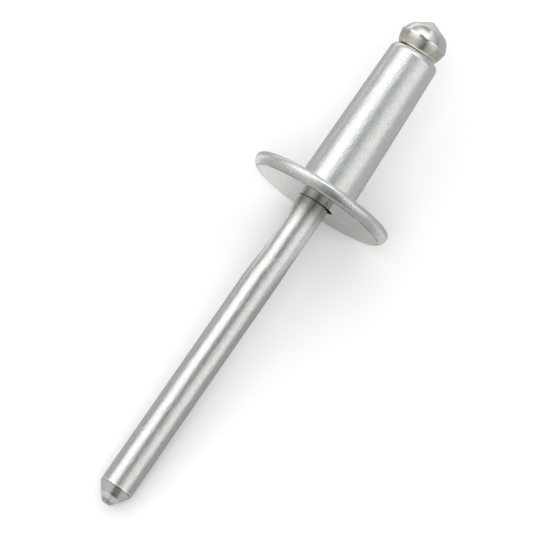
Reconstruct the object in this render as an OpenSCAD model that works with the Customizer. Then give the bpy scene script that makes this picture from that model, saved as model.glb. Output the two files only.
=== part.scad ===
/* [Sleeve] */
// Diameter of the sleeve on its straight land under the flange
sleeve_d = 4.8; // [4.4:0.05:6]
// Diameter of the sleeve where its far end starts to round over
sleeve_end_d = 4.2; // [4.1:0.05:4.7]
// Length of the sleeve from the flange's bearing face to its far end
sleeve_len = 13.4; // [8:0.1:25]
// Length of the straight land, before the sleeve narrows
land_len = 1; // [0.5:0.1:3]
// Fillet between the bearing face and the land
fillet_r = 0.2; // [0.05:0.05:0.5]
// How far the narrowing wall swells past a straight cone
sleeve_swell = 0.02; // [0:0.005:0.05]
// Radius that rounds over the far end
end_round = 0.56; // [0.1:0.02:0.58]

/* [Bore] */
// Diameter of the bore that the mandrel runs through
bore_d = 3; // [2.7:0.01:3.1]
// How far the bore lies off the sleeve's centre, from uneven drawing
bore_offset = 0.12; // [0:0.01:0.25]
// Chamfer at the bore's mouth in the flange
mouth_chamfer = 0.06; // [0.02:0.01:0.2]

/* [Flange] */
// Diameter of the large flange
flange_d = 12.3; // [9:0.1:16]
// Thickness of the flange
flange_t = 1.1; // [0.7:0.05:2]
// Height of the rim's widest circle over the bearing face
widest_h = 0.39; // [0.2:0.01:0.5]
// Angle at which the rounded rim meets the outer face, as a crisp edge
rim_crease = 24; // [5:1:50]
// Depth of the small flat on the rim that the rivet lies on and doesn't roll from
rim_flat = 0.12; // [0.04:0.02:0.2]

/* [Mandrel stem] */
// Diameter of the stem that the rivet tool grips
stem_d = 2.77; // [2.68:0.01:3.2]
// Length of the mandrel outside the flange's outer face
tail_len = 29.1; // [15:0.1:40]
// Diameter of the shank inside the bore
shank_d = 2.65; // [2.2:0.01:2.9]
// Space between the shank and the bore's wall where the shank leans on it
contact_gap = 0.01; // [0.005:0.005:0.05]

/* [Mandrel neck] */
// Diameter of the swaged neck outside the flange
neck_d = 2.59; // [2.2:0.01:2.64]
// How far the neck is pressed to one side of the stem
neck_offset = 0.05; // [0:0.01:0.1]
// Distance from the flange's outer face to the neck's near end
neck_near = 0.3; // [0.3:0.05:2]
// Distance from the flange's outer face to the neck's far end
neck_far = 7.45; // [6:0.05:12]
// Length of the ramp at each end of the neck
neck_ramp = 1.9; // [0.3:0.1:2.2]

/* [Mandrel tail] */
// Length of the whole point
point_len = 1.34; // [0.8:0.02:2]
// Diameter of the crease between the point's two cones
crease_d = 1.76; // [1.2:0.02:2.2]
// Length of the steeper end cone
crop_len = 0.62; // [0.2:0.02:0.8]
// Diameter of the cropped end
crop_d = 0.8; // [0.3:0.02:1.1]
// Radius of the rolled edge between the point and the stem
shoulder_round = 0.35; // [0.05:0.01:0.5]

/* [Mandrel head] */
// Diameter of the flat seat under the head
seat_d = 3.24; // [3.1:0.02:3.4]
// Space between the seat and the sleeve's end, where they come closest
seat_gap = 0.02; // [0.01:0.01:0.1]
// Diameter at the top of the bevel round the seat
bevel_d = 3.52; // [3.42:0.02:3.8]
// Height of that bevel
bevel_h = 0.2; // [0.05:0.01:0.4]
// Diameter at the top of the barrel, under the parting ridge
barrel_d = 3.91; // [3.85:0.01:4.2]
// Height of the barrel's top over the seat
barrel_h = 0.95; // [0.7:0.05:1.5]
// How far the barrel swells past a straight cone
barrel_swell = 0.035; // [0:0.005:0.08]
// How far the ridge left by the heading dies stands proud
ridge_proud = 0.03; // [0.005:0.005:0.06]
// Height of the ridge along the head
ridge_h = 0.2; // [0.1:0.02:0.4]
// How far the whole head was formed to one side of the shank
head_shift = 0.11; // [0:0.01:0.15]
// How far the heading dies stood out of line, which moves the barrel from the dome
die_shift = 0.06; // [0:0.01:0.1]
// Diameter that the dome above the ridge closes to
dome_d = 2.4; // [2:0.05:2.6]
// Height of the dome over the ridge
dome_h = 1.15; // [0.9:0.05:1.4]
// How far the dome swells past a straight cone
dome_swell = 0.12; // [0:0.01:0.2]
// Half angle of the cone that closes the head
tip_half_angle = 61; // [50:1:68]
// How far the cone's apex stands over the top of the dome's curve
tip_rise = 0.54; // [0.4:0.02:0.8]
// Distance of the apex from the mandrel's axis
tip_offset = 0.27; // [0:0.01:0.3]
// Angle by which the cone slants over, steeper on the apex's side
tip_lean = 6.5; // [0:0.5:8]
// Diameter of the blunt spot on the apex
tip_blunt_d = 0.14; // [0.04:0.02:0.4]

/* [Break notch] */
// Diameter left at the root of the notch where the mandrel snaps
notch_d = 2; // [1.4:0.05:2.4]
// Distance from the head's seat to the notch's root
notch_depth = 2.2; // [1:0.1:4]
// Length of the notch along the shank
notch_len = 0.9; // [0.4:0.1:1.5]

/* [Smoothness] */
// Number of flats along each rounded stretch of an outline
arc_steps = 10; // [4:1:16]
// Number of sides round each turned form
$fn = 96; // [24:8:192]

/* [Hidden] */

// Extra length that carries a cut past the surface it opens
past = 0.5;

// Radii and places of the sleeve and flange, measured along the rivet's axis
// from the bearing face, with the head's end positive
flange_r = flange_d / 2;
outer_face_z = -flange_t;
rim_round = (flange_t - widest_h) / cos(rim_crease);
taper_from_z = fillet_r + land_len;
taper_to_z = sleeve_len - end_round;

// The mandrel leans across the bore until it meets the wall at both ends
play = (bore_d - shank_d) / 2 - contact_gap;
guide_len = sleeve_len + flange_t;
guide_mid_z = sleeve_len - guide_len / 2;
lean = asin(2 * play / guide_len);

// Places along the mandrel's own axis
stem_r = stem_d / 2;
shank_r = shank_d / 2;
tail_z = outer_face_z - tail_len;
barrel_y = head_shift + die_shift;
seat_z = sleeve_len + seat_gap + (seat_d / 2 - barrel_y) * sin(lean);
ridge_z = seat_z + barrel_h;
dome_z = ridge_z + ridge_h;
dome_top_z = dome_z + dome_h;
apex_z = dome_top_z + tip_rise;
notch_z = seat_z - notch_depth;
neck_far_z = outer_face_z - neck_far;
neck_near_z = outer_face_z - neck_near;

// The rolled edge at the shoulder touches the stem and the point's long cone
cone_angle = atan2(stem_r - crease_d / 2, point_len - crop_len);
shoulder_z = tail_z + point_len + shoulder_round * tan(cone_angle / 2);

// At rest the rim's flat and the shoulder's rolled edge stand on one surface
rest_run = -shoulder_z - widest_h;
rest_rise = (flange_r - rim_round) - (stem_r - shoulder_round);
rest_tilt = atan2(rest_rise, rest_run)
    + asin((rim_round - rim_flat - shoulder_round) / norm([rest_run, rest_rise]));
rest_low = -widest_h * sin(rest_tilt) - (flange_r - rim_round) * cos(rest_tilt)
    - (rim_round - rim_flat);

// Points of an arc about a centre, from one angle to another
function arc(centre, r, from, to) = [
    for (i = [0 : arc_steps])
        let (a = from + (to - from) * i / arc_steps)
            [centre.x + r * cos(a), centre.y + r * sin(a)]
];

// Points between two places on an outline, bowed to the right of the way from
// the first to the second
function bow(from, to, swell) =
    let (way = to - from, side = [way.y, -way.x] / norm(way))
        [
            for (i = [0 : arc_steps])
                let (u = i / arc_steps)
                    from + way * u + side * swell * 4 * u * (1 - u)
        ];

// Outline of the flange and sleeve, from the axis outwards and back
function body_outline() = concat(
    [[0, outer_face_z]],
    arc([flange_r - rim_round, -widest_h], rim_round, rim_crease - 90, 0),
    arc([flange_r - widest_h, -widest_h], widest_h, 0, 90),
    arc([sleeve_d / 2 + fillet_r, fillet_r], fillet_r, 270, 180),
    bow([sleeve_d / 2, taper_from_z], [sleeve_end_d / 2, taper_to_z], sleeve_swell),
    arc([sleeve_end_d / 2 - end_round, taper_to_z], end_round, 0, 90),
    [[0, sleeve_len]]
);

// Outline of the mandrel's pointed tail and its stem, as far as the bore
function stem_outline() = concat(
    [
        [0, tail_z],
        [crop_d / 2, tail_z],
        [crease_d / 2, tail_z + crop_len]
    ],
    arc([stem_r - shoulder_round, shoulder_z], shoulder_round, -cone_angle, 0),
    [
        [stem_r, neck_far_z + neck_ramp],
        [shank_r, outer_face_z]
    ]
);

// Outline of the shank with its break notch, on into the head
function shank_outline() = [
    [shank_r, notch_z - notch_len / 2],
    [notch_d / 2, notch_z],
    [shank_r, notch_z + notch_len / 2],
    [shank_r, ridge_z],
    [0, ridge_z]
];

// Outline of the barrel with the parting ridge round its top
function barrel_outline() = concat(
    [
        [0, seat_z],
        [seat_d / 2, seat_z]
    ],
    bow([bevel_d / 2, seat_z + bevel_h], [barrel_d / 2, ridge_z], barrel_swell),
    [
        [barrel_d / 2 + ridge_proud, ridge_z + ridge_proud],
        [barrel_d / 2 + ridge_proud, dome_z - ridge_proud],
        [barrel_d / 2, dome_z],
        [0, dome_z]
    ]
);

// Outline of the dome, tall enough for the cone to be cut from it
function dome_outline() = concat(
    [[0, dome_z]],
    bow([barrel_d / 2, dome_z], [dome_d / 2, dome_top_z], dome_swell),
    [
        [dome_d / 2, apex_z + past],
        [0, apex_z + past]
    ]
);

// Turns the rivet from its own upright axis to the way it lies at rest
module at_rest() {
    rotate([0, 90 - rest_tilt, 0]) children();
}

// Sets the mandrel across the bore, leaning through all of its play
module in_bore() {
    translate([0, bore_offset, guide_mid_z])
        rotate([lean, 0, 0])
            translate([0, 0, -guide_mid_z]) children();
}

// The bore runs right through, with a small chamfer at the flange
module bore_cut() {
    translate([0, bore_offset, outer_face_z]) {
        translate([0, 0, -past]) cylinder(h = guide_len + 2 * past, d = bore_d);
        translate([0, 0, -past])
            cylinder(
                h = past + mouth_chamfer,
                r1 = bore_d / 2 + mouth_chamfer + past,
                r2 = bore_d / 2
            );
    }
}

// Ring that presses the neck into the stem, about an axis of its own
module neck_cut() {
    reach_r = stem_r + neck_offset;
    translate([0, -neck_offset, 0])
        rotate_extrude()
            polygon([
                [neck_d / 2, neck_far_z + neck_ramp],
                [reach_r, neck_far_z],
                [reach_r + past, neck_far_z],
                [reach_r + past, neck_near_z],
                [reach_r, neck_near_z],
                [neck_d / 2, neck_near_z - neck_ramp]
            ]);
}

// Everything that the head's slanted, off-centre cone leaves standing
module tip_keep() {
    keep_len = apex_z - seat_z + past;
    spread = tan(tip_half_angle);
    blunt_len = tip_blunt_d / 2 / spread;
    translate([0, tip_offset, apex_z])
        rotate([-tip_lean, 0, 0])
            translate([0, 0, -keep_len])
                cylinder(
                    h = keep_len - blunt_len,
                    r1 = keep_len * spread,
                    r2 = tip_blunt_d / 2
                );
}

// Everything under the level that the rivet lies on
module rim_flat_cut() {
    translate([-flange_r, -flange_r, rest_low - past])
        cube([flange_d, flange_d, past]);
}

// Flanged sleeve, headed and drawn in one piece
module rivet_body() {
    color("silver")
        difference() {
            at_rest()
                difference() {
                    rotate_extrude() polygon(body_outline());
                    bore_cut();
                }
            rim_flat_cut();
        }
}

// Pointed stem, necked shank and formed head, in one piece
module mandrel() {
    color("darkgray")
        at_rest()
            in_bore() {
                difference() {
                    rotate_extrude() polygon(concat(stem_outline(), shank_outline()));
                    neck_cut();
                }
                translate([0, barrel_y, 0]) rotate_extrude() polygon(barrel_outline());
                translate([0, head_shift, 0]) intersection() {
                    rotate_extrude() polygon(dome_outline());
                    tip_keep();
                }
            }
}

rivet_body();
mandrel();
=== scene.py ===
import math

import bpy
import numpy as np
from bpy.props import FloatProperty, FloatVectorProperty, IntProperty, PointerProperty
from bpy.types import Operator, Panel, PropertyGroup
from mathutils import Matrix, Vector


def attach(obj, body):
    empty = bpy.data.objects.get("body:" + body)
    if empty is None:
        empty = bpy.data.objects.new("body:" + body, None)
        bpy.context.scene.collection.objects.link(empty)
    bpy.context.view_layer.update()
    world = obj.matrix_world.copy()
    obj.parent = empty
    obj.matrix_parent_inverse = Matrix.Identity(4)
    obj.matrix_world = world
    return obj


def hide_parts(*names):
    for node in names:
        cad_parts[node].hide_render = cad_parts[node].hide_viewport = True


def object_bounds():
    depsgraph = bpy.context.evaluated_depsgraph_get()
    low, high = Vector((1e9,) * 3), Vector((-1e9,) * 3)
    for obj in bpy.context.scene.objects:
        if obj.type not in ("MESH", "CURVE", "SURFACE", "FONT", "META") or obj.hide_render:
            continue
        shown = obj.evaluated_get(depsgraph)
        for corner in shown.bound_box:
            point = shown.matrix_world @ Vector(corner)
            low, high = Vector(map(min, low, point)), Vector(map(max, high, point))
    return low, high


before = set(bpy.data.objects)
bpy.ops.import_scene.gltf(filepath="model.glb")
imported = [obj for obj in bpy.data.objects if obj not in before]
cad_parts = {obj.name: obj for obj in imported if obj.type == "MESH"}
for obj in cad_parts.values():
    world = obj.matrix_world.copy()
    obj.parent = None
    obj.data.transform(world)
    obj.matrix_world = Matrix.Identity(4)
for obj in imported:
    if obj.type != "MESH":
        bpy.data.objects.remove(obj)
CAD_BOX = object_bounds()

bl_info = {
    "name": "Pop rivet",
    "version": (1, 0, 0),
    "blender": (4, 5, 0),
    "location": "3D View > Sidebar > Rivet",
    "description": "Builds a large-flange blind rivet, not yet set, and the pale floor it lies on",
    "category": "Add Mesh",
}

MM = 0.001

# The studio as the metals see it, in five bands of directions from beside the rivet to its tail
# and head. Each stop has degrees round the rivet from overhead, with left negative, the level of
# light, and the shares of red and blue in it. No level is over PANORAMA_TOP
PANORAMA_TOP = 1.4
BESIDE = [
    (-128, 0.42, 1.0, 0.965), (-100, 0.4, 1.0, 0.965), (-88, 0.45, 0.985, 0.985),
    (-78, 0.78, 0.98, 1.0), (-66, 1.17, 1.01, 0.985), (-54, 1.3, 1.03, 0.99),
    (-34, 1.27, 1.03, 0.985), (-26, 1.08, 1.01, 0.975), (-17, 0.66, 0.94, 1.02),
    (-8, 0.38, 0.93, 1.02), (3, 0.28, 0.93, 1.02), (12, 0.46, 0.96, 0.985),
    (24, 0.7, 0.985, 0.97), (36, 0.86, 1.01, 0.955), (50, 0.97, 1.02, 0.955),
    (64, 0.92, 0.99, 0.985), (78, 0.66, 0.94, 1.01), (92, 0.46, 0.97, 0.98),
    (128, 0.42, 1.01, 0.965),
]
TAILWARD = [
    (-110, 0.46, 0.99, 0.96), (-75, 0.66, 0.99, 0.97), (-40, 0.8, 1.0, 0.96),
    (-14, 0.55, 0.98, 0.98), (0, 0.34, 0.97, 0.99), (9, 0.18, 0.97, 0.98),
    (18, 0.2, 0.97, 0.98), (32, 0.5, 0.99, 0.95), (60, 0.62, 1.0, 0.94), (95, 0.5, 0.99, 0.96),
]
FAR_TAIL = [
    (-100, 0.55, 0.99, 0.97), (-50, 0.55, 0.99, 0.97), (-15, 0.4, 0.98, 0.97),
    (0, 0.18, 0.98, 0.97), (22, 0.12, 0.98, 0.97), (45, 0.26, 0.98, 0.97), (90, 0.3, 0.98, 0.97),
]
AHEAD = [
    (-120, 0.55, 1.0, 0.98), (-84, 0.58, 1.0, 0.98), (-68, 0.9, 1.0, 0.98),
    (-56, 1.32, 1.01, 0.98), (4, 1.32, 1.01, 0.98), (20, 0.84, 0.99, 0.98),
    (48, 0.6, 0.97, 0.99), (68, 0.38, 0.95, 1.0), (86, 0.4, 0.95, 1.0), (102, 0.66, 0.98, 0.99),
    (124, 0.8, 1.0, 0.97),
]
FAR_AHEAD = [
    (-110, 0.4, 0.98, 0.98), (-40, 0.46, 0.98, 0.98), (-8, 0.6, 0.98, 0.99), (8, 1.15, 1.0, 0.98),
    (30, 1.0, 0.99, 0.98), (52, 0.4, 0.96, 0.99), (90, 0.6, 0.98, 0.98),
]

# The bands that take over from the one beside the rivet, with how far along the rivet a direction
# points where each begins and where it is complete, from -1 off the tail to 1 off the head
BANDS = [
    (0.02, -0.26, TAILWARD),
    (-0.42, -0.78, FAR_TAIL),
    (0.26, 0.5, AHEAD),
    (0.8, 0.95, FAR_AHEAD),
]

# The floor's two lamps: degrees of spread, of heading from +X towards +Y, and of lean from above
KEY_LAMP = (40, 210, 24)
FILL_LAMP = (24, 120, 24)

# Where the metals see the floor in other shades, along X and Y in metres: a painted shadow by the
# stem, a painted lit patch under the flange's face and a painted pool of light past the head. Each
# pair goes from none of a shade to all of it. Below the flange's face the shade goes by the
# distance along X from
# BELOW_FACE_X, and changes along Y. In the painted shadow by the stem the grey keeps
# STEM_SHADOW_SHARE of itself
LIGHT_POOL_X, LIGHT_POOL_Y = (0.016, 0.04), (-0.01, 0.01)
BELOW_FACE_X, BELOW_FACE_REACH, BELOW_FACE_Y = -0.0012, (0.004, 0.0014), (-0.003, 0.003)
STEM_SHADOW_X, STEM_SHADOW_Y, STEM_SHADOW_SHARE = (-0.003, -0.007), (0.0, -0.002), 0.85

# Shares of a metal's own colour in its dull and frosted patches and in its turned rings
SLEEVE_DULL, SLEEVE_FROST, FACE_RINGS = (0.88, 0.9, 0.91), (0.72, 0.76, 0.79), (0.74, 0.74, 0.73)
WIRE_DULL, WIRE_FROST = (0.86, 0.88, 0.9), (0.74, 0.77, 0.79)

# Shifts that give the frost on each metal a pattern of its own
SLEEVE_FROST_SHIFT, WIRE_FROST_SHIFT = 7.0, 5.0

# Steps along a rounded corner, along a long curve, and up the cone that closes the head
CORNER_STEPS = 5
CURVE_STEPS = 18
TIP_STEPS = 13

# Longest stretch along the sleeve and along the mandrel
SLEEVE_STEP = 0.25 * MM
MANDREL_STEP = 0.3 * MM

# Roundings too fine for the solids: on the wire's corners, the head's, and the neck's ends
WIRE_ROUND = 0.04 * MM
HEAD_ROUND = 0.03 * MM
NECK_ROUND = 0.02 * MM

# Groove where the dome meets the cone: the share of the dome's height that it is cut back to,
# how far it is cut in and down, and the share of the cone that it takes
GROOVE_BACK = 0.96
GROOVE_IN = 0.03 * MM
GROOVE_DOWN = 0.01 * MM
GROOVE_SHARE = 0.04

# Points nearer than SAME_PLACE are one. A corner is rounded if it turns by CORNER_DEG or more,
# over at most SIDE_SHARE of each side, and an edge is shaded sharp over SHARP_DEG
SAME_PLACE = 1e-9
CORNER_DEG = 8.0
SIDE_SHARE = 0.4
SHARP_DEG = 35.0

# The sleeve's end round stops short of square to the axis. HALVINGS find the crease's height,
# and the tip's middle is TIP_SHARE of the way down from the apex to the blunt spot's rim
END_ROUND_DEG = 88
HALVINGS = 40
TIP_SHARE = 0.75


def length(name, description, default_mm):
    """A length property whose default is given in millimetres."""
    return FloatProperty(
        name=name, description=description, default=default_mm * MM, unit="LENGTH", precision=6
    )


def angle(name, description, default_deg):
    """An angle property whose default is given in degrees."""
    return FloatProperty(
        name=name, description=description, default=math.radians(default_deg), subtype="ANGLE"
    )


def shade(name, description, default):
    """A colour property."""
    return FloatVectorProperty(
        name=name, description=description, default=default, subtype="COLOR", min=0, max=1
    )


class SleeveSizes(PropertyGroup):
    """Sizes of the flanged sleeve."""

    land_d: length("Land diameter", "Sleeve's diameter under the flange", 4.8)
    end_d: length("End diameter", "Sleeve's diameter where its end rounds over", 4.2)
    long: length("Length", "From the bearing face to the sleeve's end", 13.4)
    land: length("Land length", "Straight stretch before the sleeve narrows", 1.0)
    fillet: length("Fillet", "Radius between the bearing face and the land", 0.2)
    swell: length("Swell", "How far the narrowing wall swells past a cone", 0.02)
    end_round: length("End round", "Radius that rounds over the far end", 0.56)
    bore_d: length("Bore diameter", "Diameter of the bore", 3.0)
    bore_offset: length("Bore offset", "How far the bore lies off centre", 0.12)
    mouth: length("Mouth chamfer", "Chamfer at the bore's mouth", 0.06)
    flange_d: length("Flange diameter", "Diameter of the large flange", 12.29)
    flange_t: length("Flange thickness", "Thickness of the flange", 1.1)
    widest: length("Widest circle", "Height of the rim's widest circle", 0.39)
    rim_crease: angle("Rim crease", "Angle at which the rim meets the outer face", 24)
    crease_round: length("Crease round", "Radius that the crease is worn to", 0.035)
    rim_flat: length("Rim flat", "Depth of the small flat that the rivet lies on", 0.12)


class MandrelSizes(PropertyGroup):
    """Sizes of the headed and necked mandrel."""

    stem_d: length("Stem diameter", "Stretch that the rivet tool grips", 2.77)
    tail: length("Tail length", "From the flange's outer face to the tail's end", 29.1)
    shank_d: length("Shank diameter", "Diameter inside the bore", 2.65)
    contact_gap: length("Contact gap", "Space where the shank leans on the bore", 0.01)
    neck_d: length("Neck diameter", "Diameter of the swaged neck", 2.59)
    neck_offset: length("Neck offset", "How far the neck is pressed to one side", 0.05)
    neck_near: length("Neck near end", "From the outer face to the neck's near end", 0.3)
    neck_far: length("Neck far end", "From the outer face to the neck's far end", 7.45)
    neck_ramp: length("Neck ramp", "Length of the ramp at each end of the neck", 1.9)
    point: length("Point length", "Length of the whole point", 1.34)
    crease_d: length("Crease diameter", "Crease between the point's two cones", 1.76)
    crop: length("Crop length", "Length of the steeper end cone", 0.62)
    crop_d: length("Crop diameter", "Diameter of the cropped end", 0.8)
    shoulder: length("Shoulder round", "Rolled edge between the point and the stem", 0.35)
    seat_d: length("Seat diameter", "Flat seat under the head", 3.24)
    seat_gap: length("Seat gap", "Space between the seat and the sleeve's end", 0.02)
    bevel_d: length("Bevel diameter", "Top of the bevel round the seat", 3.52)
    bevel: length("Bevel height", "Height of that bevel", 0.2)
    barrel_d: length("Barrel diameter", "Top of the barrel, under the ridge", 3.91)
    barrel: length("Barrel height", "Barrel's top over the seat", 0.95)
    barrel_swell: length("Barrel swell", "How far the barrel swells past a cone", 0.035)
    ridge_proud: length("Ridge height", "How far the parting ridge stands proud", 0.03)
    ridge: length("Ridge width", "Width of the ridge along the head", 0.2)
    head_shift: length("Head shift", "How far the head lies sideways of the shank", 0.11)
    die_shift: length("Die shift", "How far the barrel lies sideways of the dome", 0.06)
    dome_d: length("Dome diameter", "Diameter that the dome closes to", 2.4)
    dome: length("Dome height", "Height of the dome over the ridge", 1.15)
    dome_swell: length("Dome swell", "How far the dome swells past a cone", 0.12)
    tip_half_angle: angle("Tip half angle", "Half angle of the cone that closes the head", 61)
    tip_rise: length("Tip rise", "Apex over the top of the dome's curve", 0.54)
    tip_offset: length("Tip offset", "Distance of the apex from the axis", 0.27)
    tip_lean: angle("Tip lean", "Angle by which the cone slants over", 6.5)
    tip_blunt_d: length("Tip blunt diameter", "Blunt spot on the apex", 0.14)
    notch_d: length("Notch diameter", "Root of the break notch", 2.0)
    notch_depth: length("Notch depth", "From the seat to the notch's root", 2.2)
    notch_len: length("Notch length", "Length of the notch along the shank", 0.9)


class Finish(PropertyGroup):
    """Colours and smoothness of the two metals, with the painted shade, highlights and reflection
    laid over them.
    """

    aluminium: shade("Aluminium", "Colour of the sleeve", (0.88, 0.885, 0.877))
    sleeve_pit: shade("Sleeve pits", "Small pits in the sleeve", (0.4, 0.37, 0.33))
    # Painted shade in the crease round the flange's face
    face_crease_shade: shade("Face crease", "Crease round the flange's face", (0.12, 0.12, 0.12))
    # Painted shade on the bore's edge and inside it
    bore_mouth_shade: shade("Bore mouth", "Edge and inside of the bore", (0.2, 0.17, 0.14))
    steel: shade("Steel", "Colour of the mandrel's plating", (0.84, 0.84, 0.825))
    wire_pit: shade("Wire pits", "Small pits in the wire", (0.4, 0.34, 0.27))
    barrel: shade("Barrel", "Head's barrel, under the ridge", (0.7, 0.69, 0.64))
    barrel_lines: shade("Barrel lines", "Lines turned round the barrel", (0.5, 0.49, 0.45))
    # Painted reflection of the sleeve's end on the bevel under the head
    seat_reflection: shade("Seat film", "Yellow film under the head", (0.88, 0.84, 0.7))
    # Painted highlight on stretches of the ridge
    ridge_highlight: shade("Glinting", "Rubbed stretches of the ridge", (0.96, 0.96, 0.93))
    ridge_spots: shade("Ridge spots", "Brown spots on the ridge", (0.3, 0.22, 0.14))
    # Painted highlight in flecks along the point's shoulder
    shoulder_highlight: shade("Rolled edge", "Bright flecks on the point's shoulder", (0.95, 0.94, 0.92))
    under_roll: shade("Under the roll", "Brown flecks past the shoulder", (0.24, 0.17, 0.12))
    grime: shade("Grime", "Grey film on the point's first cone", (0.5, 0.5, 0.49))
    # Dark band with turned lines across the middle of the point's first cone
    marks: shade("Marks", "Dark marks on the point's first cone", (0.1, 0.1, 0.11))
    sheared: shade("Sheared", "Sheared side of the point's end", (0.8, 0.81, 0.83))
    torn: shade("Torn", "Torn spots at the very end", (0.1, 0.1, 0.1))
    # Painted shade on the wire in the bore's mouth
    in_bore: shade("In the bore", "Wire at the bore's mouth", (0.1, 0.085, 0.07))
    # Painted shade on the wire near the flange, which hides the light there
    flange_shade: shade("By the flange", "Wire close to the flange", (0.26, 0.255, 0.235))
    segments: IntProperty(
        name="Segments", description="Flats round each turned form", default=320, min=48, max=512
    )


class StageSettings(PropertyGroup):
    """Camera, light and floor."""

    elevation: angle("Elevation", "Camera's height over the horizon", 68.46)
    heading: angle("Heading", "Way the camera looks, from +X towards +Y", 33.55)
    distance: length("Distance", "From the camera to the rivet", 1200)
    frame_width: length("Frame width", "Width that the picture spans at the rivet", 42.17)
    aim_right: length("Aim right", "Picture's centre, right of the bearing face", -4.585)
    aim_up: length("Aim up", "Picture's centre, above the bearing face", -5.783)
    floor_side: length("Floor side", "Side of the square floor", 8000)
    floor_colour: shade("Floor colour", "Colour of the pale floor", (0.97, 0.97, 0.97))
    floor_in_metal: shade("Floor in metal", "Floor as the metals show it", (0.43, 0.43, 0.42))
    # Painted pool of light on the floor past the head, as the metals show it
    floor_light_pool: shade("Floor ahead", "Floor past the head, in the metals", (0.9, 0.9, 0.88))
    # Painted light on the floor under the flange's face, as its face shows it: dimmer on the -Y
    # side as painted shade
    face_floor_shaded: shade("Under face, -Y", "Floor that the flange's face shows", (0.6, 0.6, 0.58))
    face_floor_lit: shade("Under face, +Y", "Floor that the flange's face shows", (0.76, 0.76, 0.74))
    key_strength: FloatProperty(
        name="Key strength", description="Strength of the soft key lamp", default=1.2, min=0
    )
    fill_strength: FloatProperty(
        name="Fill strength", description="Strength of the small fill lamp", default=0.1, min=0
    )


class Value:
    """A socket of a node tree. Python's operators on it add Math nodes."""

    def __init__(self, tree, socket=None):
        self.tree = tree
        self.socket = socket

    def node(self, kind, settings=None, inputs=None, output=0):
        """Adds a node of this kind, with its settings first, then its sockets' values or links."""
        made = self.tree.nodes.new("ShaderNode" + kind)
        for name, setting in (settings or {}).items():
            if name == "stops":
                ramp = made.color_ramp
                while len(ramp.elements) < len(setting):
                    ramp.elements.new(1)
                for element, (place, colour) in zip(ramp.elements, setting):
                    element.position = place
                    element.color = (*colour, 1)
            else:
                setattr(made, name, setting)
        for name, given in (inputs or {}).items():
            if isinstance(given, Value):
                self.tree.links.new(given.socket, made.inputs[name])
            else:
                made.inputs[name].default_value = given
        return Value(self.tree, made.outputs[output] if made.outputs else None)

    def other(self, output):
        """Another output of the node that this value comes from."""
        return Value(self.tree, self.socket.node.outputs[output])

    def math(self, operation, first, second=0.0):
        """Adds a Math node."""
        return self.node("Math", {"operation": operation}, {0: first, 1: second})

    def __add__(self, other):
        return self.math("ADD", self, other)

    __radd__ = __add__

    def __mul__(self, other):
        return self.math("MULTIPLY", self, other)

    __rmul__ = __mul__

    def __sub__(self, other):
        return self.math("SUBTRACT", self, other)

    def __rsub__(self, other):
        return self.math("SUBTRACT", other, self)

    def __truediv__(self, other):
        return self.math("DIVIDE", self, other)

    def __rtruediv__(self, other):
        return self.math("DIVIDE", other, self)

    def __pow__(self, other):
        return self.math("POWER", self, other)

    def __rpow__(self, other):
        return self.math("POWER", other, self)

    def __abs__(self):
        return self.math("ABSOLUTE", self)


def dot(vector, direction):
    """Part of a vector value along a fixed direction."""
    return vector.node(
        "VectorMath", {"operation": "DOT_PRODUCT"}, {0: vector, 1: tuple(direction)}, output="Value"
    )


def ease(value, low, high):
    """Goes smoothly from 0 to 1 as the value goes from low to high, and stays there."""
    return value.node(
        "MapRange",
        {"interpolation_type": "SMOOTHSTEP", "clamp": True},
        {"Value": value, "From Min": low, "From Max": high},
    )


def near(value, place, inside, outside):
    """Mask of what is within one distance of a place, fading out up to another."""
    return ease(abs(value - place), outside, inside)


def mix_colour(factor, first, second):
    """Mixes two colours by a value."""

    def rgba(colour):
        return colour if isinstance(colour, Value) else (*colour, 1.0)

    return factor.node(
        "Mix", {"data_type": "RGBA"}, {0: factor, 6: rgba(first), 7: rgba(second)}, output=2
    )


def mix_value(factor, first, second):
    """Goes from the first value to the second as the factor goes from 0 to 1."""
    return first + factor * (second - first)


def lay_over(colour, over, mask, strength=1.0):
    """Lays a second colour over the first, at a strength, within a mask."""
    return mix_colour(mask * strength, colour, over)


def tinted(colour, shares):
    """A colour with each part scaled."""
    return tuple(part * share for part, share in zip(colour, shares))


def combine(x, y, z):
    """Vector of three values, one of which at least is a socket."""
    some = next(part for part in (x, y, z) if isinstance(part, Value))
    return some.node("CombineXYZ", {}, {0: x, 1: y, 2: z})


def stretched(place, across, along):
    """A place scaled across the axis and along it, so that a pattern there is drawn out."""
    x, y, z = place
    return combine(x * across, y * across, z * along)


def grain(place, scale, detail=2.0, roughness=0.5, distortion=0.0):
    """Noise from 0 to 1 at a place, whose cells are about 1 / scale wide."""
    return place.node(
        "TexNoise",
        {"noise_dimensions": "3D", "normalize": True},
        {
            "Vector": place,
            "Scale": scale,
            "Detail": detail,
            "Roughness": roughness,
            "Distortion": distortion,
        },
    )


def pits(place, cell, size, share):
    """Mask of small round pits, in a share of the cells that fill the place."""
    dots = place.node(
        "TexVoronoi", {"feature": "F1"}, {"Vector": place, "Scale": 1 / cell}, output="Distance"
    )
    pick = dot(dots.other("Color"), (1, 0, 0))
    return ease(dots, size / cell, size / cell * 0.4) * ease(pick, share, share - 0.02)


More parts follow.
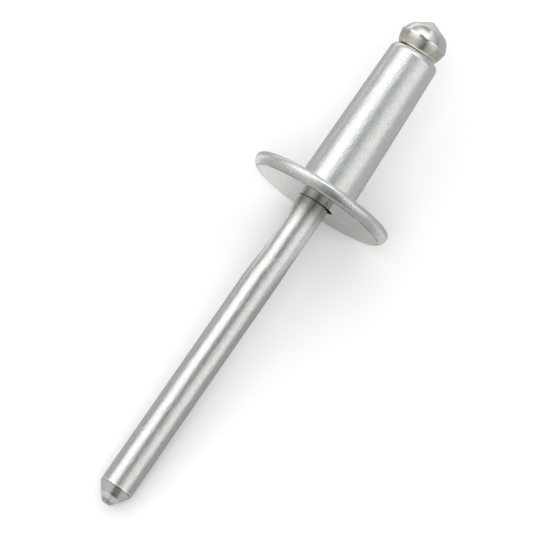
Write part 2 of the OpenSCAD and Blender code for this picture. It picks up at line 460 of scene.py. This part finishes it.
class Lay:
    """The way the rivet lies: its axes in the row frame, worked out from its own sizes."""

    def __init__(self, sleeve, mandrel):
        self.flange_t, self.sleeve_len = sleeve.flange_t, sleeve.long
        self.tail_z = -sleeve.flange_t - mandrel.tail
        self.stem_r = mandrel.stem_d / 2
        cone = math.atan2(self.stem_r - mandrel.crease_d / 2, mandrel.point - mandrel.crop)
        self.cone_angle = cone
        self.shoulder_z = self.tail_z + mandrel.point + mandrel.shoulder * math.tan(cone / 2)
        self.rim_round = (sleeve.flange_t - sleeve.widest) / math.cos(sleeve.rim_crease)
        bearing = self.rim_round - sleeve.rim_flat
        rim_centre = sleeve.flange_d / 2 - self.rim_round
        run = -self.shoulder_z - sleeve.widest
        rise = rim_centre - (self.stem_r - mandrel.shoulder)
        tilt = math.atan2(rise, run)
        tilt += math.asin((bearing - mandrel.shoulder) / math.hypot(run, rise))
        self.low = -sleeve.widest * math.sin(tilt) - bearing - rim_centre * math.cos(tilt)
        self.at_rest = Matrix.Rotation(math.pi / 2 - tilt, 4, "Y")
        play = (sleeve.bore_d - mandrel.shank_d) / 2 - mandrel.contact_gap
        guide = sleeve.long + sleeve.flange_t
        guide_mid = sleeve.long - guide / 2
        self.lean = math.asin(2 * play / guide)
        in_bore = (
            Matrix.Translation((0, sleeve.bore_offset, guide_mid))
            @ Matrix.Rotation(self.lean, 4, "X")
            @ Matrix.Translation((0, 0, -guide_mid))
        )
        self.mandrel_at_rest = self.at_rest @ in_bore


def arc(centre, radius, start, end, steps=CURVE_STEPS):
    """Points (radius, height) of an arc, from one angle in degrees to another."""
    angles = np.radians(np.linspace(start, end, steps + 1))
    return [(centre[0] + radius * math.cos(a), centre[1] + radius * math.sin(a)) for a in angles]


def bow(start, end, swell, steps=CURVE_STEPS):
    """Points between two places, bowed to the right of the way from the first to the second."""
    start, end = np.array(start), np.array(end)
    way = end - start
    side = np.array((way[1], -way[0])) / np.hypot(*way)
    shares = np.linspace(0, 1, steps + 1)
    return [tuple(start + way * u + side * swell * 4 * u * (1 - u)) for u in shares]


def soften(outline, radius):
    """Rounds the corners of an outline, each within its sides."""
    apart = [math.dist(start, end) > SAME_PLACE for start, end in zip(outline, outline[1:])]
    outline = [outline[0]] + [point for point, kept in zip(outline[1:], apart) if kept]
    soft = [outline[0]]
    for before, corner, after in zip(outline, outline[1:], outline[2:]):
        before, corner, after = (np.array(p, float) for p in (before, corner, after))
        back, ahead = before - corner, after - corner
        back_len, ahead_len = np.hypot(*back), np.hypot(*ahead)
        turn = math.pi - math.acos(np.clip(back @ ahead / back_len / ahead_len, -1, 1))
        if math.degrees(turn) < CORNER_DEG:
            soft.append(tuple(corner))
            continue
        cut = min(radius * math.tan(turn / 2), back_len * SIDE_SHARE, ahead_len * SIDE_SHARE)
        first, last = corner + back / back_len * cut, corner + ahead / ahead_len * cut
        for u in np.linspace(0, 1, CORNER_STEPS + 1):
            soft.append(tuple(first * (1 - u) ** 2 + corner * 2 * u * (1 - u) + last * u * u))
    soft.append(outline[-1])
    return soft


def refine(outline, step):
    """Adds points so that no stretch of an outline is longer than a step."""
    fine = [outline[0]]
    for start, end in zip(outline, outline[1:]):
        start, end = np.array(start), np.array(end)
        parts = max(1, math.ceil(np.hypot(*(end - start)[:2]) / step))
        fine += [tuple(start + (end - start) * i / parts) for i in range(1, parts + 1)]
    return fine


def skin(name, rings, poles, place, lowest=None):
    """A closed mesh over rings of points, pressed level at a lowest height if one is given.

    poles are its two end points, or None where the last ring joins the first.
    """
    count, around = rings.shape[:2]
    points = rings.reshape(-1, 3)
    faces = []
    spans = range(count) if poles is None else range(count - 1)
    for i in spans:
        low, high = i * around, (i + 1) % count * around
        for j in range(around):
            k = (j + 1) % around
            faces.append((low + j, low + k, high + k, high + j))
    if poles is not None:
        first = len(points)
        points = np.vstack((points, poles))
        top = (count - 1) * around
        for j in range(around):
            k = (j + 1) % around
            faces.append((first, k, j))
            faces.append((first + 1, top + j, top + k))
    matrix = np.array(place)
    points = points @ matrix[:3, :3].T + matrix[:3, 3]
    if lowest is not None:
        points[:, 2] = np.maximum(points[:, 2], lowest)
    mesh = bpy.data.meshes.new(name)
    mesh.from_pydata(points.tolist(), [], faces)
    mesh.validate()
    mesh.shade_smooth()
    mesh.set_sharp_from_angle(angle=math.radians(SHARP_DEG))
    piece = bpy.data.objects.new(name, mesh)
    bpy.context.scene.collection.objects.link(piece)
    return piece


def turned(outline, around):
    """Rings of points for an outline of (radius, height, shift towards +Y), turned on the axis."""
    angles = np.linspace(0, 2 * math.pi, around, endpoint=False)
    cos, sin = np.cos(angles), np.sin(angles)
    rings = np.empty((len(outline), around, 3))
    for ring, (radius, height, shift) in zip(rings, outline):
        ring[:, 0] = radius * cos
        ring[:, 1] = radius * sin + shift
        ring[:, 2] = height
    return rings


def sleeve_outline(s, lay):
    """Closed outline of the flanged sleeve, as (radius, height, shift towards +Y)."""
    flange_r, bore_r, face = s.flange_d / 2, s.bore_d / 2, -s.flange_t
    rim, crease = lay.rim_round, math.degrees(s.rim_crease)
    taper_from, taper_to = s.fillet + s.land, s.long - s.end_round
    outside = soften(
        [(bore_r + s.mouth, face)]
        + arc((flange_r - rim, -s.widest), rim, crease - 90, 0)
        + arc((flange_r - s.widest, -s.widest), s.widest, 0, 90)[1:]
        + arc((s.land_d / 2 + s.fillet, s.fillet), s.fillet, 270, 180, CORNER_STEPS)
        + bow((s.land_d / 2, taper_from), (s.end_d / 2, taper_to), s.swell)
        + arc((s.end_d / 2 - s.end_round, taper_to), s.end_round, 0, END_ROUND_DEG)
        + [(bore_r, s.long)],
        s.crease_round,
    )
    loop = [(r, z, 0.0) for r, z in outside]
    loop[0] = (bore_r + s.mouth, face, s.bore_offset)
    loop[-1] = (bore_r, s.long, s.bore_offset)
    loop += [(bore_r, face + s.mouth, s.bore_offset), loop[0]]
    return refine(loop, SLEEVE_STEP)[:-1]


def seat_height(m, lay):
    """Height of the head's seat along the mandrel's axis."""
    reach = m.seat_d / 2 - m.head_shift - m.die_shift
    return lay.sleeve_len + m.seat_gap + reach * math.sin(lay.lean)


def stem_outline(m, lay):
    """Outline of the mandrel's point, stem and shank up to the seat, as (radius, height)."""
    shank_r = m.shank_d / 2
    seat = seat_height(m, lay)
    notch = seat - m.notch_depth
    neck_far = -lay.flange_t - m.neck_far
    cone_end = -math.degrees(lay.cone_angle)
    point = [(m.crop_d / 2, lay.tail_z), (m.crease_d / 2, lay.tail_z + m.crop)]
    point += arc((lay.stem_r - m.shoulder, lay.shoulder_z), m.shoulder, cone_end, 0)
    shank = [
        (lay.stem_r, neck_far + m.neck_ramp),
        (shank_r, -lay.flange_t),
        (shank_r, notch - m.notch_len / 2),
        (m.notch_d / 2, notch),
        (shank_r, notch + m.notch_len / 2),
        (shank_r, seat),
    ]
    return refine(soften(point + shank, WIRE_ROUND), MANDREL_STEP)


def head_outline(m, lay):
    """Outlines of the head up to its ridge, and of the dome, as (radius, height)."""
    seat = seat_height(m, lay)
    ridge = seat + m.barrel
    dome = ridge + m.ridge
    half = m.barrel_d / 2
    low = soften(
        [(m.shank_d / 2, seat), (m.seat_d / 2, seat)]
        + bow((m.bevel_d / 2, seat + m.bevel), (half, ridge), m.barrel_swell)
        + [
            (half + m.ridge_proud, ridge + m.ridge_proud),
            (half + m.ridge_proud, dome - m.ridge_proud),
        ],
        HEAD_ROUND,
    )
    return low, bow((half, dome), (m.dome_d / 2, dome + m.dome), m.dome_swell, 2 * CURVE_STEPS)


def neck_in(rings, m, lay):
    """Presses the neck into the stem from one side, about an axis of its own."""
    far, near_end = -lay.flange_t - m.neck_far, -lay.flange_t - m.neck_near
    reach = lay.stem_r + m.neck_offset
    heights = [far, far + m.neck_ramp, near_end - m.neck_ramp, near_end]
    radii = [reach, m.neck_d / 2, m.neck_d / 2, reach]
    for ring in rings:
        z = ring[0, 2]
        if not far < z < near_end:
            continue
        rho = np.interp(z, heights, radii)
        radius = np.hypot(ring[:, 0], ring[:, 1])
        cos, sin = ring[:, 0] / radius, ring[:, 1] / radius
        wall = -m.neck_offset * sin + np.sqrt(rho**2 - (m.neck_offset * cos) ** 2)
        gap = radius - wall
        pressed = radius - (gap + np.hypot(gap, NECK_ROUND)) / 2
        ring[:, 0] = pressed * cos
        ring[:, 1] = pressed * sin


def close_head(m, dome, around):
    """Rings from the dome's foot over its crease and up the slanted cone, and the cone's tip."""
    angles = np.linspace(0, 2 * math.pi, around, endpoint=False)
    cos, sin = np.cos(angles), np.sin(angles)
    apex = np.array((0, m.tip_offset, dome[-1][1] + m.tip_rise))
    axis = np.array((0, math.sin(m.tip_lean), math.cos(m.tip_lean)))
    radii, heights = np.array(dome).T
    foot = heights[0]

    def on_dome(z):
        radius = np.interp(z, heights, radii)
        return np.stack((radius * cos, radius * sin, z), axis=1)

    low, high = np.full(around, foot), np.full(around, heights[-1])
    for _ in range(HALVINGS):
        mid = (low + high) / 2
        way = apex - on_dome(mid)
        under = way @ axis > np.linalg.norm(way, axis=1) * math.cos(m.tip_half_angle)
        low, high = np.where(under, mid, low), np.where(under, high, mid)
    crease = on_dome(low)
    shares = np.linspace(0, 1, 2 * CURVE_STEPS + 1)[1:-1]
    rings = [on_dome(foot + (low - foot) * u) for u in (*shares, GROOVE_BACK)]
    drawn_in = 1 - GROOVE_IN / radii[0]
    rings.append(crease * (drawn_in, drawn_in, 1) - (0, 0, GROOVE_DOWN))
    blunt = m.tip_blunt_d / 2 / math.sin(m.tip_half_angle)
    reach = np.linalg.norm(apex - crease, axis=1)[:, None]
    for u in (GROOVE_SHARE, *np.linspace(0, 1, TIP_STEPS + 1)[1:]):
        rings.append(crease + (apex - crease) * u * (1 - blunt / reach))
    tip = apex - axis * blunt * math.cos(m.tip_half_angle) * TIP_SHARE
    aside = np.array((0, m.head_shift, 0))
    return np.array(rings) + aside, tip + aside


def start_material(name):
    """A new material and a value to build its nodes from."""
    made = bpy.data.materials.new(name)
    made.use_nodes = True
    made.node_tree.nodes.clear()
    return made, Value(made.node_tree)


def own_millimetres(net, turn):
    """A place on a piece in millimetres along the piece's own upright axes."""
    place = net.node("TexCoord", output="Object")
    axes = turn.to_3x3()
    return [dot(place, axes.col[i]) / MM for i in range(3)]


def finish_metal(net, colour, rough, height, metallic=1.0):
    """Joins a metal's colour, roughness and height in millimetres to the output."""
    bumped = net.node("Bump", {}, {"Strength": 1.0, "Distance": MM, "Height": height})
    metal = net.node(
        "BsdfPrincipled",
        {},
        {"Base Color": colour, "Metallic": metallic, "Roughness": rough, "Normal": bumped},
    )
    net.node("OutputMaterial", {}, {"Surface": metal})


def sleeve_material(s, lay, finish):
    """Drawn aluminium, satin bright and mottled, with a turned outer face and painted shade in the
    face's crease and the bore.
    """
    made, net = start_material("drawn_aluminium")
    place = own_millimetres(net, lay.at_rest)
    x, y, z = place
    radius = (x * x + y * y) ** 0.5
    face_z = -s.flange_t / MM
    face = ease(z, face_z + 0.03, face_z + 0.01)
    flange = ease(z, 0.3, 0.1)

    fine = grain(stretched(place, 5.0, 1.8), 1.0, detail=3.0, roughness=0.65, distortion=0.4)
    coarse = grain(stretched(place, 1.0, 0.45), 1.3)
    streaks = grain(stretched(place, 6.0, 0.5), 1.0, roughness=0.6)
    rings = grain(combine((radius + coarse * 0.3) * 2.4, 0.0, 0.0), 1.0, roughness=0.6)
    blotch = grain(combine(x, y, z), 0.9, detail=3.0, roughness=0.6, distortion=0.8)
    frost = grain(combine(x + SLEEVE_FROST_SHIFT, y, z), 6.5, detail=3.0, roughness=0.75)
    specks = pits(stretched(place, 1.0, 0.7), cell=0.42, size=0.06, share=0.3)

    shell = fine * 0.018 + coarse * 0.02 + streaks * 0.008 * (1 - flange)
    height = mix_value(face, shell, rings * 0.01 + fine * 0.006 + coarse * 0.02)
    height = height - specks * 0.008

    base = tuple(finish.aluminium)
    colour = lay_over(base, tinted(base, SLEEVE_DULL), ease(blotch, 0.42, 0.6), 0.35)
    frosted = ease(frost, 0.44, 0.58) * (0.32 + 0.3 * flange) * (1 - 0.7 * face)
    colour = lay_over(colour, tinted(base, SLEEVE_FROST), frosted)
    colour = lay_over(colour, tinted(base, FACE_RINGS), ease(rings, 0.42, 0.58) * face, 0.6)
    colour = lay_over(colour, finish.sleeve_pit, specks, 0.6)
    # Dark line painted along the crease round the outer face, as shade in the crease, broken up by
    # the blotches
    crease_r = (s.flange_d / 2 - lay.rim_round + lay.rim_round * math.sin(s.rim_crease)) / MM
    crease = near(radius, crease_r, 0.04, 0.1) * ease(z, face_z + 0.12, face_z + 0.06)
    colour = lay_over(colour, finish.face_crease_shade, crease * ease(blotch, 0.4, 0.5), 0.75)
    # Painted shade on the bore's mouth chamfer and wall, short of the far end
    mouth_r = (s.bore_d / 2 + s.mouth) / MM
    from_bore = ((y - s.bore_offset / MM) ** 2 + x * x) ** 0.5
    off_far_end = ease(z, 12.5, 12.0)
    mouth = ease(from_bore, mouth_r + 0.01, mouth_r - 0.03) * off_far_end
    colour = lay_over(colour, finish.bore_mouth_shade, mouth, 0.6)
    rough = 0.2 + 0.06 * streaks + 0.06 * blotch - 0.12 * face
    finish_metal(net, colour, rough, height)
    return made


class WireMap:
    """Places, heights and patterns on the mandrel, in millimetres, that its marks follow."""

    def __init__(self, net, m, lay):
        self.place = own_millimetres(net, lay.mandrel_at_rest)
        x, y, z = self.place
        self.seat = seat_height(m, lay) / MM
        self.ridge = self.seat + m.barrel / MM
        self.ridge_half = m.ridge / MM / 2
        self.shoulder = lay.shoulder_z / MM
        self.crop = (lay.tail_z + m.crop) / MM
        self.mouth = -lay.flange_t / MM
        self.head = ease(z, self.seat - 0.01, self.seat + 0.01)
        self.point = ease(z, self.shoulder + 0.02, self.shoulder - 0.1)
        self.lines = grain(stretched(self.place, 0.8, 22.0), 1.0, roughness=0.7)
        moved = combine(x + WIRE_FROST_SHIFT, y, z)
        self.frost = grain(moved, 7.5, detail=3.0, roughness=0.75)


def head_marks(colour, wire, finish):
    """Colours the barrel, paints the sleeve's end reflected under it, paints highlights on the
    ridge and colours its spots. Also returns the metal that the painted highlight takes out.
    """
    _, y, z = wire.place
    barrel = wire.head * ease(z, wire.ridge + 0.02, wire.ridge - 0.02)
    colour = lay_over(colour, finish.barrel, barrel, 0.85)
    colour = lay_over(colour, finish.barrel_lines, barrel * ease(wire.lines, 0.4, 0.62), 0.4)
    # Painted reflection of the sleeve's end on the bevel just over the seat
    reflection = wire.head * ease(z, wire.seat + 0.3, wire.seat + 0.2)
    colour = lay_over(colour, finish.seat_reflection, reflection, 0.85)
    on_ridge = near(z - wire.ridge, wire.ridge_half, 0.1, 0.15)
    # Painted highlight on two stretches of the ridge, also made half not metal
    ridge_highlight = on_ridge * (near(y, 1.0, 0.35, 0.5) + near(y, -0.5, 0.15, 0.3))
    colour = lay_over(colour, finish.ridge_highlight, ridge_highlight)
    spots = on_ridge * ease(wire.frost, 0.44, 0.52) * ease(abs(y), 0.8, 0.4)
    colour = lay_over(colour, finish.ridge_spots, spots, 0.85)
    return colour, 0.5 * ridge_highlight


def point_marks(colour, wire, finish):
    """Paints highlight flecks on the point's shoulder and colours the point's two cones. Also
    returns the metal taken out by the highlight, the sheared end and the grey film.
    """
    x, y, z = wire.place
    past = z - wire.shoulder
    # Painted highlight in flecks along the shoulder, also made partly not metal
    shoulder_highlight = near(past, 0.04, 0.05, 0.1) * ease(wire.frost, 0.56, 0.5)
    colour = lay_over(colour, finish.shoulder_highlight, shoulder_highlight, 0.9)
    under_roll = near(past, -0.07, 0.04, 0.1) * ease(wire.frost, 0.44, 0.54)
    colour = lay_over(colour, finish.under_roll, under_roll, 0.85)
    grime = wire.point * ease(z, wire.crop - 0.02, wire.crop + 0.03)
    colour = lay_over(colour, finish.grime, grime, 0.4)
    # Dark band with turned lines across the middle of the first cone
    marks = grime * (0.3 + ease(wire.lines, 0.42, 0.58)) * near(x * 0.2 - y, -0.07, 0.2, 0.48)
    colour = lay_over(colour, finish.marks, marks, 0.75)
    sheared = wire.point * ease(z, wire.crop + 0.03, wire.crop - 0.02)
    colour = lay_over(colour, finish.sheared, sheared * ease(y, -0.5, 0.1))
    torn = sheared * ease(z, wire.crop - 0.3, wire.crop - 0.48) * ease(wire.frost, 0.45, 0.52)
    colour = lay_over(colour, finish.torn, torn, 0.8)
    return colour, 0.35 * sheared + 0.3 * grime + 0.35 * shoulder_highlight


def mandrel_material(m, lay, finish):
    """Bright zinc plating on drawn steel wire, with a warmer headed end and a sheared point, and
    with painted shade, highlights and a painted reflection.
    """
    made, net = start_material("plated_steel")
    wire = WireMap(net, m, lay)
    place, z = wire.place, wire.place[2]
    out_of_head = 1 - wire.head

    swirl = grain(stretched(place, 5.5, 1.6), 1.0, detail=3.0, roughness=0.65, distortion=0.6)
    coarse = grain(stretched(place, 1.0, 0.3), 1.2, detail=1.0)
    streaks = grain(stretched(place, 7.0, 0.45), 1.0, roughness=0.6)
    stain = grain(combine(*place), 1.6, detail=3.0, roughness=0.6, distortion=0.5)
    specks = pits(stretched(place, 1.0, 0.8), cell=0.5, size=0.05, share=0.3) * out_of_head

    stem_height = swirl * 0.02 + coarse * 0.014 + streaks * 0.006
    height = mix_value(wire.head, stem_height, wire.lines * 0.0014 + swirl * 0.005)
    height = mix_value(wire.point, height, wire.lines * 0.004 + swirl * 0.006)

    base = tuple(finish.steel)
    colour = lay_over(base, tinted(base, WIRE_DULL), ease(stain, 0.42, 0.6), 0.4)
    colour = lay_over(colour, tinted(base, WIRE_FROST), ease(wire.frost, 0.44, 0.58), 0.35)
    colour = lay_over(colour, finish.wire_pit, specks, 0.5)
    colour, ridge_glint = head_marks(colour, wire, finish)
    colour, point_wear_and_glint = point_marks(colour, wire, finish)
    # Painted shade on the wire just inside the bore's mouth, off the head
    in_bore = ease(z, wire.mouth - 0.11, wire.mouth - 0.04) * out_of_head
    colour = lay_over(colour, finish.in_bore, in_bore, 0.85)
    # Painted shade on the stem over the last stretch before the flange's face
    flange_shade = ease(z, wire.mouth - 2.7, wire.mouth) * out_of_head
    colour = lay_over(colour, finish.flange_shade, flange_shade, 0.85)
    rough = 0.1 + 0.05 * streaks + 0.04 * stain + 0.08 * wire.point
    # The painted highlights on the ridge and the shoulder take metal out, as do the sheared end and
    # the grey film
    finish_metal(net, colour, rough, height, 1 - point_wear_and_glint - ridge_glint)
    return made


def floor_material(stage):
    """Pale floor, which the metals show as grey, with paler and darker patches near the rivet:
    painted shadow by the stem, painted light under the flange's face and a painted pool of light
    past the head.
    """
    made, net = start_material("pale_floor")
    place = net.node("TexCoord", output="Object")
    x, y = dot(place, (1, 0, 0)), dot(place, (0, 1, 0))
    grey = tuple(stage.floor_in_metal)
    # Painted shadow of the stem on the floor that the metals show
    stem_shadow = ease(y, *STEM_SHADOW_Y) * ease(x, *STEM_SHADOW_X)
    seen = mix_colour(stem_shadow, grey, tuple(part * STEM_SHADOW_SHARE for part in grey))
    # Painted lit patch under the flange's face, dimmer towards -Y as painted shade
    below_face = ease(abs(x - BELOW_FACE_X), *BELOW_FACE_REACH)
    face_side = mix_colour(ease(y, *BELOW_FACE_Y), stage.face_floor_shaded, stage.face_floor_lit)
    seen = mix_colour(below_face, seen, face_side)
    # Painted pool of light on the floor past the head
    seen = mix_colour(ease(x, *LIGHT_POOL_X) * ease(y, *LIGHT_POOL_Y), seen, stage.floor_light_pool)
    mirrored = net.node("LightPath", output="Is Glossy Ray")
    colour = mix_colour(mirrored, stage.floor_colour, seen)
    paint = net.node("BsdfDiffuse", {}, {"Color": colour})
    net.node("OutputMaterial", {}, {"Surface": paint})
    return made


def lay_floor(stage):
    """The square floor that the rivet lies on."""
    half, low = stage.floor_side / 2, CAD_BOX[0][2]
    mesh = bpy.data.meshes.new("floor")
    corners = [(-half, -half, low), (half, -half, low), (half, half, low), (-half, half, low)]
    mesh.from_pydata(corners, [], [(0, 1, 2, 3)])
    mesh.materials.append(floor_material(stage))
    floor = bpy.data.objects.new("floor", mesh)
    bpy.context.scene.collection.objects.link(floor)
    return floor


def view_axes(stage):
    """Right, up and forward of the camera, in the row frame."""
    up_angle, heading = stage.elevation, stage.heading
    forward = Vector(
        (
            math.cos(up_angle) * math.cos(heading),
            math.cos(up_angle) * math.sin(heading),
            -math.sin(up_angle),
        )
    )
    right = forward.cross(Vector((0, 0, 1))).normalized()
    return right, right.cross(forward), forward


def panorama(turn, stops):
    """Light round the rivet's axis, from stops of degrees, level, and shares of red and blue."""
    ends = [(-180, *stops[0][1:])] + stops + [(180, *stops[-1][1:])]
    shades = []
    for degrees, level, red, blue in ends:
        level /= PANORAMA_TOP
        shades.append(((degrees + 180) / 360, (level * red, level, level * blue)))
    return turn.node("ValToRGB", {"stops": shades}, {0: turn / 360 + 0.5})


def light_room(stage, lay):
    """Paints the studio on the world, in bands along the rivet, and adds the floor's two lamps."""
    forward = view_axes(stage)[2]
    along = lay.at_rest.to_3x3().col[2]
    over = (-forward - (-forward).dot(along) * along).normalized()
    side = along.cross(over)
    world = bpy.data.worlds.new("studio")
    bpy.context.scene.world = world
    world.use_nodes = True
    world.node_tree.nodes.clear()
    net = Value(world.node_tree)
    way = net.node("TexCoord", output="Generated")
    lengthways, overhead, sideways = (dot(way, axis) for axis in (along, over, side))
    turn = net.math("ARCTAN2", sideways, overhead) * math.degrees(1)
    light = panorama(turn, BESIDE)
    for begins, complete, stops in BANDS:
        light = mix_colour(ease(lengthways, begins, complete), light, panorama(turn, stops))
    light = net.node("Background", {}, {"Color": light, "Strength": PANORAMA_TOP})
    net.node("OutputWorld", {}, {"Surface": light})
    key = add_lamp("key", stage.key_strength, *KEY_LAMP)
    fill = add_lamp("fill", stage.fill_strength, *FILL_LAMP)
    return key, fill


def add_lamp(name, strength, spread_deg, heading_deg, lean_deg):
    """A soft lamp for the floor, leaning from straight above towards a heading."""
    lamp = bpy.data.lights.new(name, "SUN")
    lamp.energy = strength
    lamp.angle = math.radians(spread_deg)
    hung = bpy.data.objects.new(name, lamp)
    bpy.context.scene.collection.objects.link(hung)
    lean, heading = math.radians(lean_deg), math.radians(heading_deg)
    level = Vector((math.cos(heading), math.sin(heading), 0))
    toward = Vector((0, 0, 1)) * math.cos(lean) + level * math.sin(lean)
    hung.rotation_euler = toward.to_track_quat("Z", "Y").to_euler()
    hung.visible_glossy = False
    return hung


def aim_camera(stage):
    """The camera, far off with a long lens."""
    right, up, forward = view_axes(stage)
    lens = bpy.data.cameras.new("camera")
    lens.lens = lens.sensor_width * stage.distance / stage.frame_width
    lens.clip_end = stage.floor_side
    camera = bpy.data.objects.new("camera", lens)
    bpy.context.scene.collection.objects.link(camera)
    aim = right * stage.aim_right + up * stage.aim_up
    turn = Matrix((right, up, -forward)).transposed().to_4x4()
    camera.matrix_world = Matrix.Translation(aim - forward * stage.distance) @ turn
    return camera


class RIVET_OT_sleeve(Operator):
    """Build the flanged aluminium sleeve"""

    bl_idname = "rivet.sleeve"
    bl_label = "Sleeve"

    def execute(self, context):
        s, finish = context.scene.rivet_sleeve, context.scene.rivet_finish
        lay = Lay(s, context.scene.rivet_mandrel)
        rings = turned(sleeve_outline(s, lay), finish.segments)
        piece = skin("sleeve", rings, None, lay.at_rest, lowest=lay.low)
        piece.data.materials.append(sleeve_material(s, lay, finish))
        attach(piece, "root")
        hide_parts("rivet_body")
        return {"FINISHED"}


class RIVET_OT_mandrel(Operator):
    """Build the headed and necked steel mandrel"""

    bl_idname = "rivet.mandrel"
    bl_label = "Mandrel"

    def execute(self, context):
        m, finish = context.scene.rivet_mandrel, context.scene.rivet_finish
        lay = Lay(context.scene.rivet_sleeve, m)
        low, dome = head_outline(m, lay)
        outline = [(r, z, 0.0) for r, z in stem_outline(m, lay)]
        outline += [(r, z, m.head_shift + m.die_shift) for r, z in low[1:]]
        outline.append((*dome[0], m.head_shift))
        rings = turned(outline, finish.segments)
        neck_in(rings, m, lay)
        top, tip = close_head(m, dome, finish.segments)
        rings = np.concatenate((rings, top))
        piece = skin("mandrel", rings, [(0, 0, lay.tail_z), tip], lay.mandrel_at_rest)
        piece.data.materials.append(mandrel_material(m, lay, finish))
        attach(piece, "root")
        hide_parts("mandrel")
        return {"FINISHED"}


class RIVET_OT_stage(Operator):
    """Add the pale floor, the studio light and the camera"""

    bl_idname = "rivet.stage"
    bl_label = "Stage"

    def execute(self, context):
        stage = context.scene.rivet_stage
        lay = Lay(context.scene.rivet_sleeve, context.scene.rivet_mandrel)
        floor = lay_floor(stage)
        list(light_room(stage, lay))
        context.scene.camera = aim_camera(stage)
        context.scene.view_settings.view_transform = "Standard"
        return {"FINISHED"}


class RIVET_PT_panel(Panel):
    """Lists the rivet's pieces and its stage"""

    bl_idname = "RIVET_PT_panel"
    bl_label = "Pop rivet"
    bl_space_type = "VIEW_3D"
    bl_region_type = "UI"
    bl_category = "Rivet"

    def draw(self, context):
        for operator in OPERATORS:
            self.layout.operator(operator.bl_idname)


GROUPS = {
    "rivet_sleeve": SleeveSizes,
    "rivet_mandrel": MandrelSizes,
    "rivet_finish": Finish,
    "rivet_stage": StageSettings,
}
OPERATORS = (RIVET_OT_sleeve, RIVET_OT_mandrel, RIVET_OT_stage)


def register():
    for name, group in GROUPS.items():
        bpy.utils.register_class(group)
        setattr(bpy.types.Scene, name, PointerProperty(type=group))
    for shown in (*OPERATORS, RIVET_PT_panel):
        bpy.utils.register_class(shown)


def unregister():
    for shown in (RIVET_PT_panel, *OPERATORS):
        bpy.utils.unregister_class(shown)
    for name, group in GROUPS.items():
        delattr(bpy.types.Scene, name)
        bpy.utils.unregister_class(group)


def main():
    register()
    bpy.ops.rivet.sleeve()
    bpy.ops.rivet.mandrel()
    bpy.ops.rivet.stage()


if __name__ == "__main__":
    main()
